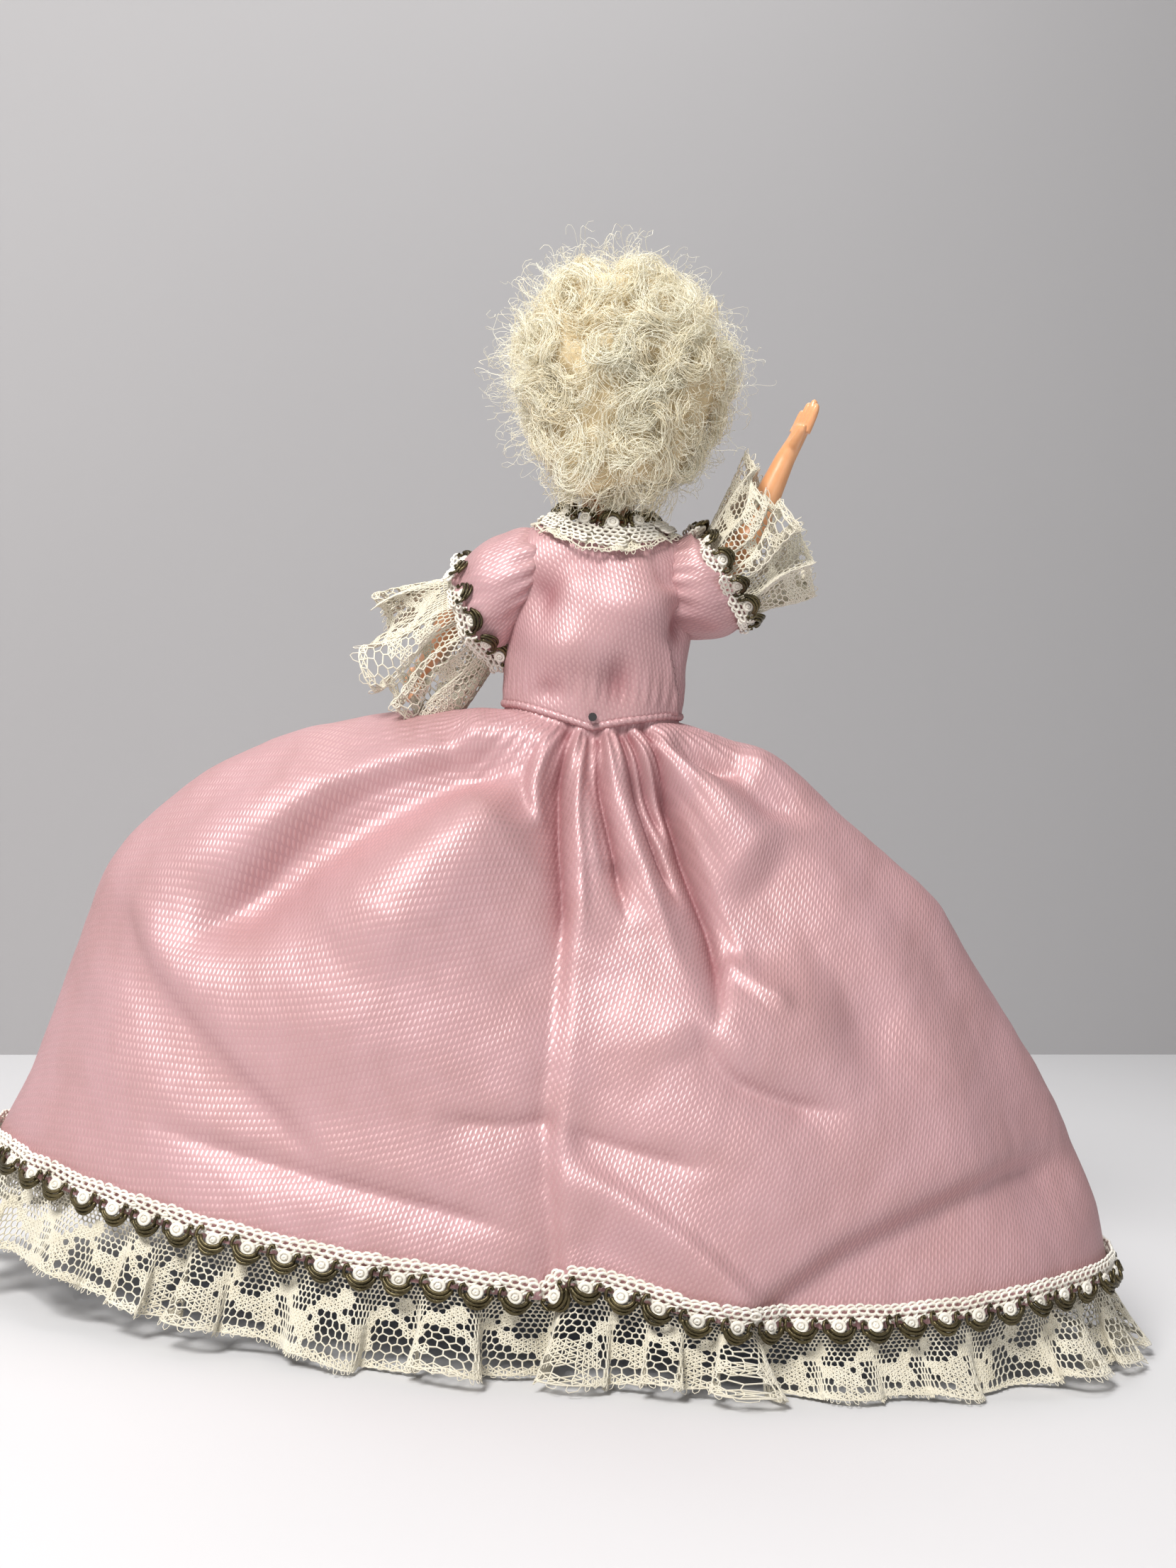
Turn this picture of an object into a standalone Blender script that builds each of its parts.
"""Topsy turvy doll: two half dolls joined at the waist, one under a reversible gathered skirt.

Metres, +Z up. The origin is on the floor under the middle of the waist. The upper doll's back is at -Y
and its right hand is at +X. Each half doll is modelled upright with its waist at zero height, and the
lower one is then turned over.
"""

import math

import bmesh
import bpy
from mathutils import Matrix, Vector

# Clearance between pieces that touch
GAP = 0.0003
# Overrun of every cutter past what it cuts
OVERRUN = 0.004

# Heights of the whole doll
WAIST_HEIGHT = 0.114
SHOULDER_REACH = 0.015

# Torso shells, from waist to neck
TORSO_HALF_WIDTH = 0.0150
TORSO_HALF_DEPTH = 0.0105
TORSO_LENGTH = 0.0345
TORSO_WALL = 0.0014
SHOULDER_DROP = 0.0095
SHOULDER_RISE = TORSO_LENGTH - SHOULDER_DROP
NECK_RADIUS = 0.0050
NECK_LENGTH = 0.0065
ARM_SEAT_DEPTH = 0.0008
ARM_SEAT_RADIUS = 0.0055
ARM_HOLE_RADIUS = 0.0020
PLUG_HEIGHT = 0.0140
PLUG_BORE_RADIUS = 0.0018

# Height share, width share and depth share of each torso section
TORSO_SHARES = (
    (0.03, 1.00, 1.00),
    (0.22, 1.02, 1.06),
    (0.44, 1.03, 1.15),
    (0.60, 1.02, 1.08),
    (0.75, 0.98, 0.94),
    (0.88, 0.82, 0.80),
    (0.95, 0.56, 0.64),
)

# Head, its middle lifted above the neck's end
HEAD_LIFT = 0.0170
HEAD_RISE = TORSO_LENGTH + NECK_LENGTH + HEAD_LIFT
HEAD_HALF_WIDTH = 0.0145
HEAD_HALF_DEPTH = 0.0150
HEAD_HALF_HEIGHT = 0.0175
NOSE_HEIGHT = 0.0016
NOSE_RADIUS = 0.0030
EYE_DEPTH = 0.0007
EYE_RADIUS = 0.0036
HOOK_RADIUS = 0.0007
HOOK_BORE_RADIUS = 0.0012
HOOK_BORE_DEPTH = 0.0080

# Wig of curls, its middle lifted above the head's
WIG_LIFT = 0.0050
WIG_HALF_WIDTH = 0.0212
WIG_HALF_DEPTH = 0.0205
WIG_HALF_HEIGHT = 0.0222
CURL_HEIGHT = 0.0009
CURL_WAVES = 9
FACE_HALF_WIDTH = 0.0105
FACE_HALF_HEIGHT = 0.0135

# Arm, bent at the elbow
SHOULDER_RADIUS = 0.0050
UPPER_ARM_RADIUS = 0.0031
FOREARM_RADIUS = 0.0025
WRIST_RADIUS = 0.0019
PALM_HALF_WIDTH = 0.0030
PALM_HALF_THICKNESS = 0.0013
FINGER_HALF_WIDTH = 0.0022
FINGER_HALF_THICKNESS = 0.0009
THUMB_RADIUS = 0.0010
THUMB_LENGTH = 0.0052
ARM_REACH = 0.0220
ARM_DROP = 0.0366
STUB_RADIUS = 0.0016
STUB_LENGTH = 0.0040
RAISED_ANGLE = 180.0
LOWERED_ANGLE = 45.0

# Elastic that strings the doll
ELASTIC_RADIUS = 0.0008
ARM_ELASTIC_BOW = 0.0030
HEAD_ELASTIC_DROP = 0.0050
HEAD_ELASTIC_REACH = TORSO_LENGTH - HEAD_ELASTIC_DROP

# Bodice
BODICE_HALF_WIDTH = 0.0170
BODICE_HALF_DEPTH = 0.0125
BODICE_NECK_DROP = 0.0010
BODICE_LENGTH = TORSO_LENGTH - BODICE_NECK_DROP
BODICE_WALL = 0.0008
ARMHOLE_RADIUS = 0.0065
LOWER_BODICE_HALF_WIDTH = 0.0168
LOWER_BODICE_HALF_DEPTH = 0.0123

# Height share, width share and depth share of each bodice section
BODICE_SHARES = (
    (0.000, 1.000, 1.00),
    (0.120, 1.005, 1.03),
    (0.260, 1.010, 1.07),
    (0.410, 1.018, 1.11),
    (0.570, 1.018, 1.08),
    (0.740, 1.000, 0.95),
    (0.870, 0.945, 0.82),
    (0.955, 0.805, 0.71),
    (1.000, 0.615, 0.63),
)

# Sleeve with its braid and lace
SLEEVE_RADIUS = 0.0090
SLEEVE_START = 0.0030
SLEEVE_REACH = 0.0105
SLEEVE_DROP = 0.0040
SLEEVE_PUFF = 0.0014
CUFF_RADIUS = 0.0090
CUFF_TILT = 35.0
CUFF_BRAID_SHARE = 0.62
FRILL_REACH = 0.0160
FRILL_DROP = 0.0170
FRILL_TILT = 62.0
FRILL_RADIUS = 0.0100
FRILL_WALL = 0.0007
FRILL_WAVE = 0.0008
FRILL_WAVES = 7
BRAID_WIDTH = 0.0045
BRAID_THICKNESS = 0.0010

# Waist seam
WELT_RADIUS = 0.0008
WAIST_DIP = 0.0032
PIN_RADIUS = 0.0008
PIN_LENGTH = 0.0012

# Skirt: half width and half depth at the hem, and where the hem and its lace end
SKIRT_HALF_WIDTH = 0.1060
SKIRT_HALF_DEPTH = 0.0480
SKIRT_WALL = 0.0008
LINING_WALL = 0.0008
HEM_HEIGHT_RIGHT = 0.0165
HEM_HEIGHT_LEFT = 0.0250
HEM_HEIGHT_BACK = 0.0150
HEM_HEIGHT_FRONT = 0.0140
HEM_SAG = 0.0040
HEM_SAG_ANGLE = 298.0
HEM_SAG_WIDTH = 26.0
LACE_LIFT_LEFT = 0.0095
LACE_FLARE = 0.0022
LACE_WALL = 0.0012
LACE_WAVE = 0.0020
LACE_WAVES = 24
# Step for the slope of the skirt's surface, in shares of its length and in radians
STEP_SHARE = 0.01
SKIRT_COLUMNS = 60
LACE_COLUMNS = 96
SKIRT_ROW_SHARES = (0.0, 0.06, 0.14, 0.24, 0.36, 0.50, 0.65, 0.81, 1.0)

# Outline of the skirt on each side: reach share of the half width or half depth, drop share to the hem
RIGHT_SHARES = (
    (0.156, 0.00), (0.236, 0.02), (0.310, 0.045), (0.361, 0.08), (0.414, 0.135), (0.543, 0.24),
    (0.621, 0.29), (0.675, 0.37), (0.738, 0.46), (0.808, 0.56), (0.880, 0.68), (0.972, 0.88),
    (1.000, 1.00),
)
LEFT_SHARES = (
    (0.156, 0.00), (0.264, 0.005), (0.375, 0.02), (0.525, 0.08), (0.672, 0.17), (0.772, 0.28),
    (0.846, 0.40), (0.900, 0.64), (0.943, 0.84), (1.000, 1.00),
)
BACK_SHARES = (
    (0.258, 0.00), (0.345, 0.04), (0.455, 0.12), (0.575, 0.25), (0.690, 0.38), (0.790, 0.54),
    (0.870, 0.70), (0.945, 0.85), (1.000, 1.00),
)

# Main folds: angle at the top, angle at the bottom, first share, last share, half width in degrees,
# depth as a share of FOLD_DEPTH. Angles run from +X through the front at +Y. Minus is a ridge.
FOLD_DEPTH = 0.0040
FOLD_SHARES = (
    (262, 266, 0.02, 0.62, 8, 0.55),
    (281, 284, 0.02, 0.50, 7, 0.50),
    (295, 299, 0.03, 0.52, 9, 1.65),
    (316, 330, 0.02, 0.26, 9, 0.75),
    (248, 244, 0.10, 0.80, 12, -0.70),
    (241, 217, 0.05, 0.68, 9, 1.35),
    (274, 272, 0.30, 1.00, 9, 0.45),
    (200, 196, 0.20, 0.95, 12, 0.55),
    (338, 336, 0.25, 0.95, 12, 0.55),
    (288, 290, 0.45, 1.00, 12, -0.60),
    (96, 94, 0.02, 0.62, 8, 0.55),
    (76, 72, 0.02, 0.55, 8, 0.60),
    (62, 44, 0.04, 0.68, 10, 1.30),
    (116, 136, 0.04, 0.68, 10, 1.30),
    (36, 30, 0.20, 0.95, 12, 0.50),
    (150, 154, 0.20, 0.95, 12, 0.50),
    (84, 84, 0.35, 1.00, 14, -0.60),
)

# Mesh counts
RING_COUNT = 20
CUFF_COUNT = 30
WELT_COUNT = 24
HEAD_COUNT = 20
WIG_COUNT = 20

PINK = (0.62, 0.29, 0.31, 1.0)
IVORY = (0.78, 0.72, 0.60, 1.0)
BRONZE = (0.20, 0.16, 0.09, 1.0)
FLESH = (0.60, 0.27, 0.12, 1.0)
BLOND = (0.80, 0.70, 0.48, 1.0)
BROWN = (0.12, 0.05, 0.02, 1.0)
BLUE = (0.25, 0.36, 0.58, 1.0)
STEEL = (0.45, 0.45, 0.46, 1.0)
RUBBER = (0.62, 0.55, 0.42, 1.0)


def clear_scene():
    for obj in list(bpy.data.objects):
        bpy.data.objects.remove(obj)


def new_collection(name):
    collection = bpy.data.collections.new(name)
    bpy.context.scene.collection.children.link(collection)
    return collection


def material(name, colour, roughness, metallic=0.0):
    found = bpy.data.materials.get(name)
    if found:
        return found
    mat = bpy.data.materials.new(name)
    mat.use_nodes = True
    shader = mat.node_tree.nodes["Principled BSDF"]
    shader.inputs["Base Color"].default_value = colour
    shader.inputs["Roughness"].default_value = roughness
    shader.inputs["Metallic"].default_value = metallic
    return mat


def finish(name):
    """The finish of a piece, by the name of what it is made of."""
    finishes = {
        "satin": (PINK, 0.35, 0.0),
        "lace": (IVORY, 0.85, 0.0),
        "braid": (BRONZE, 0.45, 0.4),
        "skin": (FLESH, 0.35, 0.0),
        "blond": (BLOND, 0.60, 0.0),
        "brown": (BROWN, 0.60, 0.0),
        "cotton": (BLUE, 0.85, 0.0),
        "steel": (STEEL, 0.30, 1.0),
        "elastic": (RUBBER, 0.80, 0.0),
    }
    return material(name, *finishes[name])


def add_object(name, mesh, stuff, parent=None, matrix=None):
    obj = bpy.data.objects.new(name, mesh)
    DOLL.objects.link(obj)
    if not mesh.materials:
        mesh.materials.append(finish(stuff))
    if parent:
        obj.parent = parent
    if matrix:
        obj.matrix_basis = matrix
    mesh.shade_smooth()
    mesh.set_sharp_from_angle(angle=math.radians(40))
    return obj


def mesh_from_rings(name, rings, capped):
    """A mesh through rings of points, closed with a face at each end if capped."""
    bm = bmesh.new()
    rows = [[bm.verts.new(point) for point in ring] for ring in rings]
    for low, high in zip(rows, rows[1:]):
        count = len(low)
        for i in range(count):
            j = (i + 1) % count
            bm.faces.new((low[i], low[j], high[j], high[i]))
    if capped:
        bm.faces.new(reversed(rows[0]))
        bm.faces.new(rows[-1])
    bmesh.ops.recalc_face_normals(bm, faces=bm.faces)
    mesh = bpy.data.meshes.new(name)
    bm.to_mesh(mesh)
    bm.free()
    return mesh


def mesh_between(name, outer, inner):
    """A closed wall between an outer and an inner set of rings, with a rim at each end."""
    bm = bmesh.new()
    rows = [[bm.verts.new(point) for point in ring] for ring in outer]
    rows += [[bm.verts.new(point) for point in ring] for ring in reversed(inner)]
    rows.append(rows[0])
    for low, high in zip(rows, rows[1:]):
        count = len(low)
        for i in range(count):
            j = (i + 1) % count
            bm.faces.new((low[i], low[j], high[j], high[i]))
    bmesh.ops.triangulate(bm, faces=bm.faces)
    bmesh.ops.recalc_face_normals(bm, faces=bm.faces)
    mesh = bpy.data.meshes.new(name)
    bm.to_mesh(mesh)
    bm.free()
    return mesh


def oval(centre, half_width, half_depth, across=(1, 0, 0), along=(0, 1, 0), count=RING_COUNT):
    """A ring of points on an ellipse."""
    centre, across, along = Vector(centre), Vector(across), Vector(along)
    points = []
    for i in range(count):
        angle = math.tau * i / count
        sideways = across * (half_width * math.cos(angle))
        points.append(centre + sideways + along * (half_depth * math.sin(angle)))
    return points


def solidify(obj, thickness):
    """A wall inwards from an open surface."""
    modifier = obj.modifiers.new("wall", "SOLIDIFY")
    modifier.thickness = thickness
    modifier.offset = -1
    modifier.use_even_offset = True
    modifier.use_rim = True


def cutter_box(name, low, high, matrix):
    bpy.ops.mesh.primitive_cube_add(size=1)
    obj = bpy.context.object
    low, high = Vector(low), Vector(high)
    obj.matrix_world = matrix @ Matrix.LocRotScale((low + high) / 2, None, high - low)
    return as_cutter(obj, name)


def cutter_bar(name, radius, start, end, matrix):
    """A round cutter from start to end."""
    start, end = Vector(start), Vector(end)
    bpy.ops.mesh.primitive_cylinder_add(vertices=RING_COUNT, radius=radius, depth=(end - start).length)
    obj = bpy.context.object
    turn = Vector((0, 0, 1)).rotation_difference(end - start)
    obj.matrix_world = matrix @ Matrix.LocRotScale((start + end) / 2, turn, None)
    return as_cutter(obj, name)


def cutter_ball(name, centre, half_sizes, matrix):
    bpy.ops.mesh.primitive_uv_sphere_add(segments=RING_COUNT, ring_count=RING_COUNT * 2 // 3, radius=1)
    obj = bpy.context.object
    obj.matrix_world = matrix @ Matrix.LocRotScale(centre, None, half_sizes)
    return as_cutter(obj, name)


def as_cutter(obj, name):
    obj.name = name
    for collection in list(obj.users_collection):
        collection.objects.unlink(obj)
    CUTTERS.objects.link(obj)
    obj.hide_render = True
    obj.display_type = "WIRE"
    return obj


def cut(obj, cutter, operation="DIFFERENCE"):
    modifier = obj.modifiers.new(cutter.name, "BOOLEAN")
    modifier.operation = operation
    modifier.solver = "EXACT"
    modifier.object = cutter


def pivot(name, matrix):
    """An empty on a joint's axis."""
    empty = bpy.data.objects.new(name, None)
    DOLL.objects.link(empty)
    empty.matrix_world = matrix
    return empty


def bar(name, radius, start, end, stuff, parent=None, matrix=None):
    """A round bar from start to end."""
    start, end = Vector(start), Vector(end)
    turn = Vector((0, 0, 1)).rotation_difference(end - start).to_matrix()
    across = turn @ Vector((1, 0, 0))
    along = turn @ Vector((0, 1, 0))
    rings = [oval(point, radius, radius, across, along, RING_COUNT // 2) for point in (start, end)]
    return add_object(name, mesh_from_rings(name, rings, True), stuff, parent, matrix)


def torso_rings(grow=0.0):
    rings = []
    for rise, wide, deep in TORSO_SHARES:
        half_width = TORSO_HALF_WIDTH * wide + grow
        half_depth = TORSO_HALF_DEPTH * deep + grow
        rings.append(oval((0, 0, TORSO_LENGTH * rise), half_width, half_depth))
    for height in (TORSO_LENGTH, TORSO_LENGTH + NECK_LENGTH):
        rings.append(oval((0, 0, height), NECK_RADIUS + grow, NECK_RADIUS + grow))
    return rings


def torso(prefix, place):
    """Front and back shells, with a flat seat and a hole for each arm."""
    far = SHOULDER_REACH + OVERRUN
    tall = TORSO_LENGTH + NECK_LENGTH + OVERRUN
    for side, sign in (("front", 1), ("back", -1)):
        name = f"{prefix}_torso_{side}"
        obj = add_object(name, mesh_from_rings(name, torso_rings(), False), "skin", None, place)
        solidify(obj, TORSO_WALL)
        ends = sorted((sign * GAP / 2, sign * (far + OVERRUN)))
        half = cutter_box(f"{name}_half", (-2 * far, ends[0], -OVERRUN), (2 * far, ends[1], tall), place)
        cut(obj, half, "INTERSECT")
        for hand, way in (("right", 1), ("left", -1)):
            seat = (way * (SHOULDER_REACH - ARM_SEAT_DEPTH), 0, SHOULDER_RISE)
            out = (way * far, 0, SHOULDER_RISE)
            inside = (way * (SHOULDER_REACH - TORSO_WALL - OVERRUN), 0, SHOULDER_RISE)
            cut(obj, cutter_bar(f"{name}_{hand}_seat", ARM_SEAT_RADIUS, seat, out, place))
            cut(obj, cutter_bar(f"{name}_{hand}_hole", ARM_HOLE_RADIUS, inside, out, place))


def head_point(point):
    """A point of the unit sphere moved to the head's surface: chin, cheeks, eye hollows and nose."""
    x, y, z = point
    jaw = max(0.0, -z)
    front = max(0.0, y)
    x *= 1 - 0.22 * jaw * jaw
    y *= 1 - 0.10 * jaw
    x *= 1 + 0.05 * front * math.exp(-((z + 0.35) ** 2) / 0.08)
    moved = Vector((x * HEAD_HALF_WIDTH, y * HEAD_HALF_DEPTH, z * HEAD_HALF_HEIGHT))
    if y > 0:
        nose = math.hypot(moved.x, moved.z + 0.10 * HEAD_HALF_HEIGHT) / NOSE_RADIUS
        moved.y += NOSE_HEIGHT * math.exp(-nose * nose)
        for way in (-1, 1):
            eye = math.hypot(moved.x - way * 0.36 * HEAD_HALF_WIDTH, moved.z - 0.08 * HEAD_HALF_HEIGHT)
            moved.y -= EYE_DEPTH * math.exp(-((eye / EYE_RADIUS) ** 2))
    return moved


def head(prefix, neck):
    """Head, hollow for its hook, on the neck pivot at the top of the torso's neck."""
    mesh = ball_mesh(f"{prefix}_head", HEAD_COUNT, HEAD_COUNT * 2 // 3)
    lift = Vector((0, 0, HEAD_LIFT))
    for vert in mesh.vertices:
        vert.co = head_point(vert.co) + lift
    obj = add_object(f"{prefix}_head", mesh, "skin", neck)
    wide = HEAD_HALF_WIDTH + OVERRUN
    floor = cutter_box(f"{prefix}_head_floor", (-wide, -wide, -wide), (wide, wide, GAP), neck.matrix_world)
    bore = cutter_bar(
        f"{prefix}_head_bore", HOOK_BORE_RADIUS, (0, 0, -OVERRUN), (0, 0, HOOK_BORE_DEPTH), neck.matrix_world
    )
    cut(obj, floor)
    cut(obj, bore)
    low = HEAD_ELASTIC_REACH + GAP - TORSO_LENGTH - NECK_LENGTH
    bar(f"{prefix}_head_hook", HOOK_RADIUS, (0, 0, low), (0, 0, HOOK_BORE_DEPTH - GAP), "steel", neck)


def ball_mesh(name, segments, rings):
    """A sphere of radius one with its poles at top and bottom."""
    bm = bmesh.new()
    bmesh.ops.create_uvsphere(bm, u_segments=segments, v_segments=rings, radius=1)
    mesh = bpy.data.meshes.new(name)
    bm.to_mesh(mesh)
    bm.free()
    return mesh


def wig(prefix, neck, stuff):
    """Ball of curls, hollow for the head and open at the face and the neck."""
    mesh = ball_mesh(f"{prefix}_wig", WIG_COUNT, WIG_COUNT * 2 // 3)
    for vert in mesh.vertices:
        x, y, z = vert.co
        wave = math.sin(CURL_WAVES * x) * math.sin(CURL_WAVES * z + 1) + math.sin(CURL_WAVES * y + z)
        grow = 1 + CURL_HEIGHT / WIG_HALF_WIDTH * (wave / 2 - 1)
        vert.co = Vector((x * WIG_HALF_WIDTH, y * WIG_HALF_DEPTH, z * WIG_HALF_HEIGHT)) * grow
        vert.co.z += HEAD_LIFT + WIG_LIFT
    obj = add_object(f"{prefix}_wig", mesh, stuff, neck)
    head_centre = Vector((0, 0, HEAD_LIFT))
    room = GAP * 2
    skull = (HEAD_HALF_WIDTH * 1.03 + room, HEAD_HALF_DEPTH + room, HEAD_HALF_HEIGHT + room)
    face = head_centre + Vector((0, WIG_HALF_DEPTH, -FACE_HALF_HEIGHT * 0.16))
    open_face = (FACE_HALF_WIDTH, WIG_HALF_DEPTH, FACE_HALF_HEIGHT)
    neck_radius = NECK_RADIUS + TORSO_WALL
    matrix = neck.matrix_world
    cut(obj, cutter_ball(f"{prefix}_wig_skull", head_centre, skull, matrix))
    cut(obj, cutter_ball(f"{prefix}_wig_face", face, open_face, matrix))
    under = (0, 0, -HEAD_HALF_HEIGHT)
    cut(obj, cutter_bar(f"{prefix}_wig_neck", neck_radius, under, head_centre, matrix))
    return obj


def arm_mesh(name, way):
    """Arm hanging straight down from the shoulder at zero, reaching out to the side that way gives."""
    sections = (
        (0.00, 0.00, 0, SHOULDER_RADIUS, SHOULDER_RADIUS),
        (0.11, 0.01, 8, SHOULDER_RADIUS * 0.92, SHOULDER_RADIUS * 0.92),
        (0.26, 0.07, 24, UPPER_ARM_RADIUS * 1.12, UPPER_ARM_RADIUS * 1.12),
        (0.44, 0.16, 40, UPPER_ARM_RADIUS, UPPER_ARM_RADIUS),
        (0.58, 0.29, 66, FOREARM_RADIUS * 1.06, FOREARM_RADIUS * 1.06),
        (0.68, 0.48, 72, FOREARM_RADIUS, FOREARM_RADIUS),
        (0.82, 0.70, 68, WRIST_RADIUS, WRIST_RADIUS),
        (0.88, 0.78, 68, PALM_HALF_THICKNESS, PALM_HALF_WIDTH * 0.85),
        (0.93, 0.86, 70, PALM_HALF_THICKNESS, PALM_HALF_WIDTH),
        (0.97, 0.93, 74, FINGER_HALF_THICKNESS, FINGER_HALF_WIDTH),
        (1.00, 1.00, 76, FINGER_HALF_THICKNESS * 0.6, FINGER_HALF_WIDTH * 0.6),
    )
    rings = []
    start = GAP - ARM_SEAT_DEPTH
    for reach, drop, tilt, thick, wide in sections:
        angle = math.radians(tilt)
        across = Vector((math.sin(angle) * way, 0, math.cos(angle)))
        x = (start + (ARM_REACH - start) * reach) * way
        rings.append(oval((x, 0, -ARM_DROP * drop), thick, wide, across, (0, 1, 0), RING_COUNT // 2))
    return mesh_from_rings(name, rings, True)


def arm(name, shoulder, way):
    """Arm with its thumb, and the stub inside the torso that the elastic holds."""
    obj = add_object(name, arm_mesh(name, way), "skin", shoulder)
    palm = Vector((ARM_REACH * 0.86 * way, 0, -ARM_DROP * 0.74))
    tip = palm + Vector((THUMB_LENGTH * 0.2 * way, THUMB_LENGTH * 0.8, -THUMB_LENGTH * 0.6))
    thumb = cutter_bar(f"{name}_thumb", THUMB_RADIUS, palm, tip, shoulder.matrix_world)
    cut(obj, thumb, "UNION")
    seat = GAP - ARM_SEAT_DEPTH
    end = ((seat - STUB_LENGTH) * way, 0, 0)
    start = ((seat + SHOULDER_RADIUS / 2) * way, 0, 0)
    cut(obj, cutter_bar(f"{name}_stub", STUB_RADIUS, end, start, shoulder.matrix_world), "UNION")


def cuff_ring(share, radius, way, count=CUFF_COUNT, wave=0.0):
    """A ring across the sleeve. Share 0 is the cuff's edge and share 1 the end of the frill."""
    tilt = math.radians(CUFF_TILT + (FRILL_TILT - CUFF_TILT) * share)
    reach = SLEEVE_REACH + (FRILL_REACH - SLEEVE_REACH) * share
    drop = SLEEVE_DROP + (FRILL_DROP - SLEEVE_DROP) * share
    across = Vector((math.sin(tilt) * way, 0, math.cos(tilt)))
    points = []
    for i in range(count):
        angle = math.tau * i / count
        size = radius + wave * math.sin(FRILL_WAVES * angle)
        offset = across * (size * math.cos(angle)) + Vector((0, size * math.sin(angle), 0))
        points.append(Vector((reach * way, 0, -drop)) + offset)
    return points


def cuff_normal(way):
    tilt = math.radians(CUFF_TILT)
    return Vector((math.cos(tilt) * way, 0, -math.sin(tilt)))


def sleeve_section(way, share, grow=0.0):
    """A ring of the sleeve. Share 0 is the round armhole on the shoulder's axis and share 1 the cuff."""
    tilt = math.radians(CUFF_TILT * share)
    across = Vector((math.sin(tilt) * way, 0, math.cos(tilt)))
    reach = SLEEVE_START + (SLEEVE_REACH - SLEEVE_START) * share
    drop = SLEEVE_DROP * share * share
    puff = SLEEVE_PUFF * math.sin(math.pi * share)
    radius = SLEEVE_RADIUS + (CUFF_RADIUS - SLEEVE_RADIUS) * share + puff + grow
    return oval((reach * way, 0, -drop), radius, radius, across)


def sleeve(name, shoulder, way, stuff):
    rings = [sleeve_section(way, share) for share in (0.0, 0.35, CUFF_BRAID_SHARE, 1.0)]
    obj = add_object(name, mesh_from_rings(name, rings, False), stuff, shoulder)
    solidify(obj, BODICE_WALL)


def cuff_trim(prefix, shoulder, way):
    """Braid round the cuff and a ruffled lace frill beyond its edge."""
    walls = []
    for grow in (BRAID_THICKNESS + GAP, GAP):
        walls.append([sleeve_section(way, share, grow) for share in (CUFF_BRAID_SHARE, 1.0)])
    name = f"{prefix}_cuff_braid"
    add_object(name, mesh_between(name, walls[0], walls[1]), "braid", shoulder)
    name = f"{prefix}_cuff_lace"
    normal = cuff_normal(way)
    outer = []
    inner = []
    for share in (0.0, 0.5, 1.0):
        shift = normal * GAP * (1 - share)
        radius = CUFF_RADIUS + (FRILL_RADIUS - CUFF_RADIUS) * share
        wave = FRILL_WAVE * share
        outer.append([p + shift for p in cuff_ring(share, radius, way, CUFF_COUNT, wave)])
        inner.append([p + shift for p in cuff_ring(share, radius - FRILL_WALL, way, CUFF_COUNT, wave)])
    add_object(name, mesh_between(name, outer, inner), "lace", shoulder)


def dip(angle):
    """How far the waist seam drops to its point at the middle of the back."""
    away = abs((math.degrees(angle) - 270 + 180) % 360 - 180)
    return WAIST_DIP * max(0.0, 1 - away / 60) ** 1.5


def bodice_ring(share_row, half_width, half_depth, base, dipped, grow=0.0, lift=0.0):
    rise, wide, deep = share_row
    centre = (0, 0, base + BODICE_LENGTH * rise + lift)
    points = oval(centre, half_width * wide + grow, half_depth * deep + grow)
    if dipped:
        for i, point in enumerate(points):
            point.z -= dip(math.tau * i / len(points)) * (1 - rise) ** 3
    return points


def bodice(name, rows, half_width, half_depth, base, dipped, stuff, place):
    """Bodice with a round armhole on each shoulder's axis."""
    rings = [bodice_ring(row, half_width, half_depth, base, dipped) for row in rows]
    obj = add_object(name, mesh_from_rings(name, rings, False), stuff, None, place)
    solidify(obj, BODICE_WALL)
    for hand, way in (("right", 1), ("left", -1)):
        start = (way * (SHOULDER_REACH - 2 * OVERRUN), 0, SHOULDER_RISE)
        end = (way * (SHOULDER_REACH + 2 * OVERRUN), 0, SHOULDER_RISE)
        cut(obj, cutter_bar(f"{name}_{hand}_armhole", ARMHOLE_RADIUS, start, end, place))


def collar(prefix, half_width, half_depth, base, stuff, place, braided):
    """Frill that lies on the bodice round the neck, with the braid along its upper edge."""
    low, middle, top = BODICE_SHARES[-3:]
    lift = GAP + FRILL_WALL
    outer = [bodice_ring(row, half_width, half_depth, base, False, 2 * lift, lift) for row in (middle, top)]
    inner = [bodice_ring(row, half_width, half_depth, base, False, lift, lift / 2) for row in (middle, top)]
    name = f"{prefix}_neck_lace"
    add_object(name, mesh_between(name, outer, inner), stuff, None, place)
    if not braided:
        return
    name = f"{prefix}_neck_braid"
    ring = bodice_ring(top, half_width, half_depth, base, False, -BRAID_THICKNESS, lift + BRAID_THICKNESS)
    curve_ring(name, ring, BRAID_THICKNESS, "braid", place)


def curve_ring(name, points, radius, stuff, place):
    """A round cord along a closed ring of points."""
    curve = bpy.data.curves.new(name, "CURVE")
    curve.dimensions = "3D"
    curve.bevel_depth = radius
    curve.bevel_resolution = 1
    spline = curve.splines.new("POLY")
    spline.points.add(len(points) - 1)
    for slot, point in zip(spline.points, points):
        slot.co = (*point, 1)
    spline.use_cyclic_u = True
    curve.materials.append(finish(stuff))
    obj = bpy.data.objects.new(name, curve)
    DOLL.objects.link(obj)
    obj.matrix_basis = place
    return obj


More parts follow.
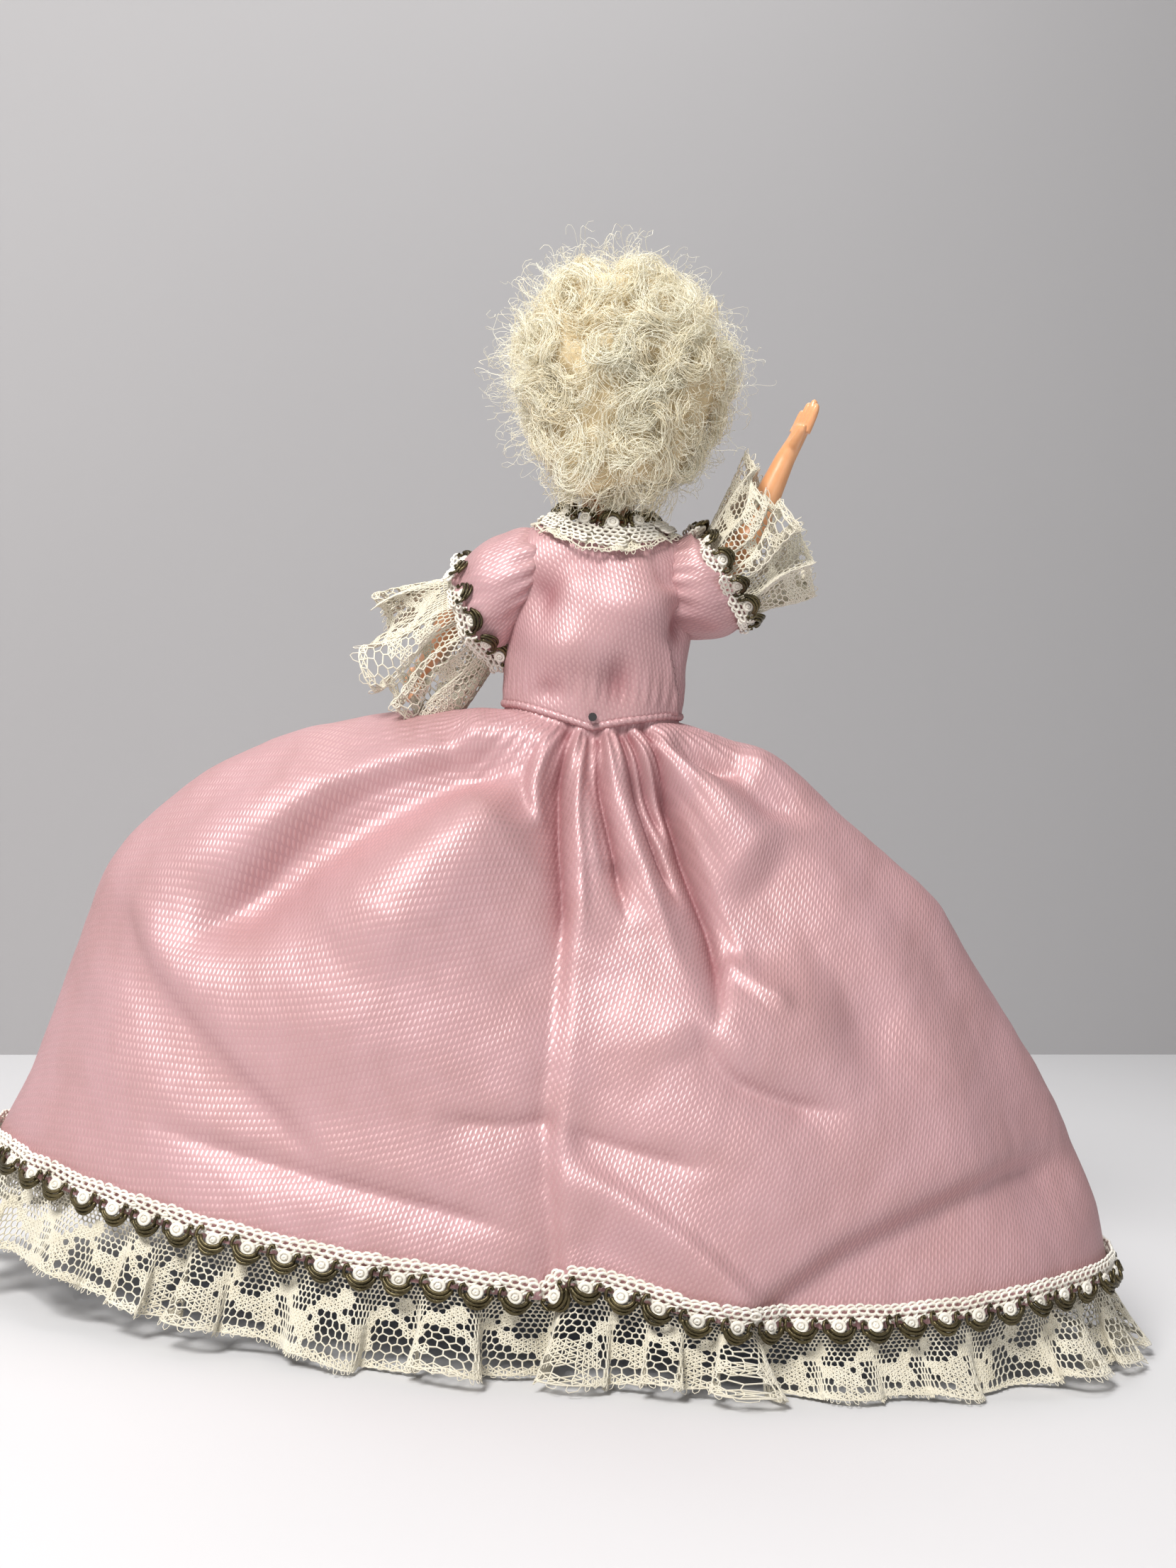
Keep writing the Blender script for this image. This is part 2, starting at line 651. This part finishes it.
def curve_bar(name, points, radius, stuff, place):
    """A round cord through points, with capped ends."""
    curve = bpy.data.curves.new(name, "CURVE")
    curve.dimensions = "3D"
    curve.bevel_depth = radius
    curve.bevel_resolution = 2
    curve.use_fill_caps = True
    spline = curve.splines.new("POLY")
    spline.points.add(len(points) - 1)
    for slot, point in zip(spline.points, points):
        slot.co = (*point, 1)
    curve.materials.append(finish(stuff))
    obj = bpy.data.objects.new(name, curve)
    DOLL.objects.link(obj)
    obj.matrix_basis = place
    return obj


def arm_elastic(prefix, place):
    """Elastic between the two arm stubs, bowed behind the elastic of the heads."""
    end = SHOULDER_REACH - ARM_SEAT_DEPTH - STUB_LENGTH
    steps = 8
    points = []
    for i in range(steps + 1):
        share = 2 * i / steps - 1
        points.append((end * share, -ARM_ELASTIC_BOW * (1 - share * share), SHOULDER_RISE))
    curve_bar(f"{prefix}_arm_elastic", points, ELASTIC_RADIUS, "elastic", place)


def outline(shares, reach, drop, share):
    """The point of an outline at a share of its length, as reach and drop."""
    points = [Vector((a * reach, b * drop)) for a, b in shares]
    lengths = [(b - a).length for a, b in zip(points, points[1:])]
    left = share * sum(lengths)
    for a, b, length in zip(points, points[1:], lengths):
        if left <= length:
            return a.lerp(b, left / length)
        left -= length
    return points[-1]


def fold_depth(angle, share):
    """How far the main folds push the cloth in at an angle and a share of the way down."""
    degrees = math.degrees(angle) % 360
    total = 0.0
    for top, bottom, first, last, width, depth in FOLD_SHARES:
        if not first < share < last:
            continue
        along = (share - first) / (last - first)
        middle = top + (bottom - top) * along
        away = ((degrees - middle + 180) % 360 - 180) / width
        fade = min(1.0, 4 * along) * min(1.0, 4 * (1 - along)) if last < 1 else min(1.0, 4 * along)
        total += depth * fade * math.exp(-away * away)
    return FOLD_DEPTH * total


def side_blend(angle, right, left, back, front):
    """A value that is right, left, back or front on those sides and turns smoothly between them."""
    across = math.cos(angle) ** 2
    side = right if math.cos(angle) > 0 else left
    depth = front if math.sin(angle) > 0 else back
    return side * across + depth * (1 - across)


def hem_height(angle):
    """Height of the hem, which sags right of the seam at the back."""
    away = (math.degrees(angle) % 360 - HEM_SAG_ANGLE) / HEM_SAG_WIDTH
    level = side_blend(angle, HEM_HEIGHT_RIGHT, HEM_HEIGHT_LEFT, HEM_HEIGHT_BACK, HEM_HEIGHT_FRONT)
    return level - HEM_SAG * math.exp(-away * away)


def skirt_base(angle, share):
    """The skirt's surface without its folds."""
    start = WAIST_HEIGHT - WELT_RADIUS - GAP - dip(angle)
    drop = start - hem_height(angle)
    shares = RIGHT_SHARES if math.cos(angle) > 0 else LEFT_SHARES
    side = outline(shares, SKIRT_HALF_WIDTH, drop, share)
    back = outline(BACK_SHARES, SKIRT_HALF_DEPTH, drop, share)
    across = math.cos(angle) ** 2
    height = start - (side.y * across + back.y * (1 - across))
    return Vector((side.x * math.cos(angle), back.x * math.sin(angle), height))


def skirt_point(angle, share, offset):
    """A point offset outwards from the folded skirt, along the normal of its unfolded surface."""
    low, high = max(0.0, share - STEP_SHARE), min(1.0, share + STEP_SHARE)
    down = skirt_base(angle, high) - skirt_base(angle, low)
    round_ = skirt_base(angle + STEP_SHARE, share) - skirt_base(angle - STEP_SHARE, share)
    normal = round_.cross(down).normalized()
    if normal.dot(Vector((math.cos(angle), math.sin(angle), 1))) < 0:
        normal = -normal
    return skirt_base(angle, share) + normal * (offset - fold_depth(angle, share))


def skirt_ring(share, offset, count=SKIRT_COLUMNS):
    return [skirt_point(math.tau * i / count, share, offset) for i in range(count)]


def skirt_layer(name, shares, outside, wall, stuff):
    """A layer of the skirt, its outer face at the offset outside, between the given shares."""
    outer = [skirt_ring(share, outside) for share in shares]
    inner = [skirt_ring(share, outside - wall) for share in shares]
    add_object(name, mesh_between(name, outer, inner), stuff)


def skirts():
    """Satin skirt, the lining skirt inside it and the braid along its hem, all on the same rows."""
    braid_start = 1 - BRAID_WIDTH / (WAIST_HEIGHT - HEM_HEIGHT_BACK)
    rows = sorted(SKIRT_ROW_SHARES + (braid_start,))
    skirt_layer("skirt", rows, 0.0, SKIRT_WALL, "satin")
    skirt_layer("lining_skirt", rows, -SKIRT_WALL - GAP, LINING_WALL, "cotton")
    skirt_layer("hem_braid", (braid_start, 1.0), GAP + BRAID_THICKNESS, BRAID_THICKNESS, "braid")


def lace_ring(share, offset):
    """A ring of the hem lace. Share 0 is under the hem and share 1 its lower edge."""
    points = []
    for i in range(LACE_COLUMNS):
        angle = math.tau * i / LACE_COLUMNS
        top = skirt_point(angle, 1.0, 0.0)
        out = Vector((top.x / SKIRT_HALF_WIDTH, top.y / SKIRT_HALF_DEPTH, 0))
        out = Vector((out.x * SKIRT_HALF_DEPTH, out.y * SKIRT_HALF_WIDTH, 0)).normalized()
        top_height = hem_height(angle) - GAP - GAP
        low = side_blend(angle, 0.0, LACE_LIFT_LEFT, 0.0, 0.0)
        wave = LACE_WAVE * share * math.sin(LACE_WAVES * angle)
        point = Vector((top.x, top.y, 0)) + out * (offset + LACE_FLARE * share + wave)
        point.z = top_height + (low - top_height) * share
        points.append(point)
    return points


def hem_lace():
    rows = (0.0, 0.5, 1.0)
    outer = [lace_ring(share, 0.0) for share in rows]
    inner = [lace_ring(share, -LACE_WALL) for share in rows]
    add_object("hem_lace", mesh_between("hem_lace", outer, inner), "lace")


def waist_welt():
    """Piped seam between bodice and skirt, with its point at the back."""
    half_width = BODICE_HALF_WIDTH - WELT_RADIUS
    half_depth = BODICE_HALF_DEPTH - WELT_RADIUS
    ring = oval((0, 0, WAIST_HEIGHT), half_width, half_depth, count=WELT_COUNT)
    for i, point in enumerate(ring):
        point.z -= dip(math.tau * i / len(ring))
    curve_ring("waist_welt", ring, WELT_RADIUS, "satin", Matrix())


def waist_pin():
    """Pin that closes the gown, at the point of the waist."""
    depth = BODICE_HALF_DEPTH * BODICE_SHARES[0][2] + GAP
    height = WAIST_HEIGHT - WAIST_DIP + WELT_RADIUS + GAP + PIN_RADIUS
    bar("waist_pin", PIN_RADIUS, (0, -depth - PIN_LENGTH, height), (0, -depth, height), "steel")


def waist_plug():
    """Oval plug that joins the torsos, bored for the elastic of the heads."""
    half_width = TORSO_HALF_WIDTH - TORSO_WALL - GAP
    half_depth = TORSO_HALF_DEPTH - TORSO_WALL - GAP
    heights = (WAIST_HEIGHT - PLUG_HEIGHT / 2, WAIST_HEIGHT + PLUG_HEIGHT / 2)
    rings = [oval((0, 0, height), half_width, half_depth) for height in heights]
    plug = add_object("waist_plug", mesh_from_rings("waist_plug", rings, True), "skin")
    low = (0, 0, heights[0] - OVERRUN)
    high = (0, 0, heights[1] + OVERRUN)
    cut(plug, cutter_bar("waist_plug_bore", PLUG_BORE_RADIUS, low, high, Matrix()))


def shoulder_pivot(name, place, way, degrees):
    """A pivot on the shoulder's axis, with the arm swung forwards and up from hanging by degrees."""
    spot = Matrix.Translation((SHOULDER_REACH * way, 0, SHOULDER_RISE))
    return pivot(name, place @ spot @ Matrix.Rotation(math.radians(degrees), 4, "X"))


def half_doll(prefix, place, hair, angles):
    """Torso, head, wig and arms of one half doll. Returns its shoulder pivots."""
    torso(prefix, place)
    neck = pivot(f"{prefix}_neck_axis", place @ Matrix.Translation((0, 0, TORSO_LENGTH + NECK_LENGTH)))
    head(prefix, neck)
    wig(prefix, neck, hair)
    arm_elastic(prefix, place)
    shoulders = {}
    for hand, way in (("right", 1), ("left", -1)):
        shoulders[hand] = shoulder_pivot(f"{prefix}_{hand}_shoulder_axis", place, way, angles[hand])
        arm(f"{prefix}_{hand}_arm", shoulders[hand], way)
    return shoulders


def main():
    upright = Matrix.Translation((0, 0, WAIST_HEIGHT))
    turned = upright @ Matrix.Rotation(math.pi, 4, "Y")
    upper = half_doll("upper", upright, "blond", {"right": RAISED_ANGLE, "left": LOWERED_ANGLE})
    lower = half_doll("lower", turned, "brown", {"right": RAISED_ANGLE, "left": RAISED_ANGLE})
    waist_plug()
    reach = HEAD_ELASTIC_REACH
    bar("head_elastic", ELASTIC_RADIUS, (0, 0, -reach), (0, 0, reach), "elastic", None, upright)

    base = WELT_RADIUS + GAP
    bodice("bodice", BODICE_SHARES, BODICE_HALF_WIDTH, BODICE_HALF_DEPTH, base, True, "satin", upright)
    collar("upper", BODICE_HALF_WIDTH, BODICE_HALF_DEPTH, base, "lace", upright, True)
    waist_welt()
    waist_pin()
    skirts()
    hem_lace()
    wide, deep = LOWER_BODICE_HALF_WIDTH, LOWER_BODICE_HALF_DEPTH
    bodice("lower_bodice", BODICE_SHARES[2:], wide, deep, base, False, "cotton", turned)
    collar("lower", wide, deep, base, "lace", turned, False)
    for hand, way in (("right", 1), ("left", -1)):
        sleeve(f"{hand}_sleeve", upper[hand], way, "satin")
        cuff_trim(hand, upper[hand], way)
        sleeve(f"lower_{hand}_sleeve", lower[hand], way, "cotton")


clear_scene()
DOLL = new_collection("topsy_turvy_doll")
CUTTERS = new_collection("cutters")
main()
bpy.context.view_layer.update()
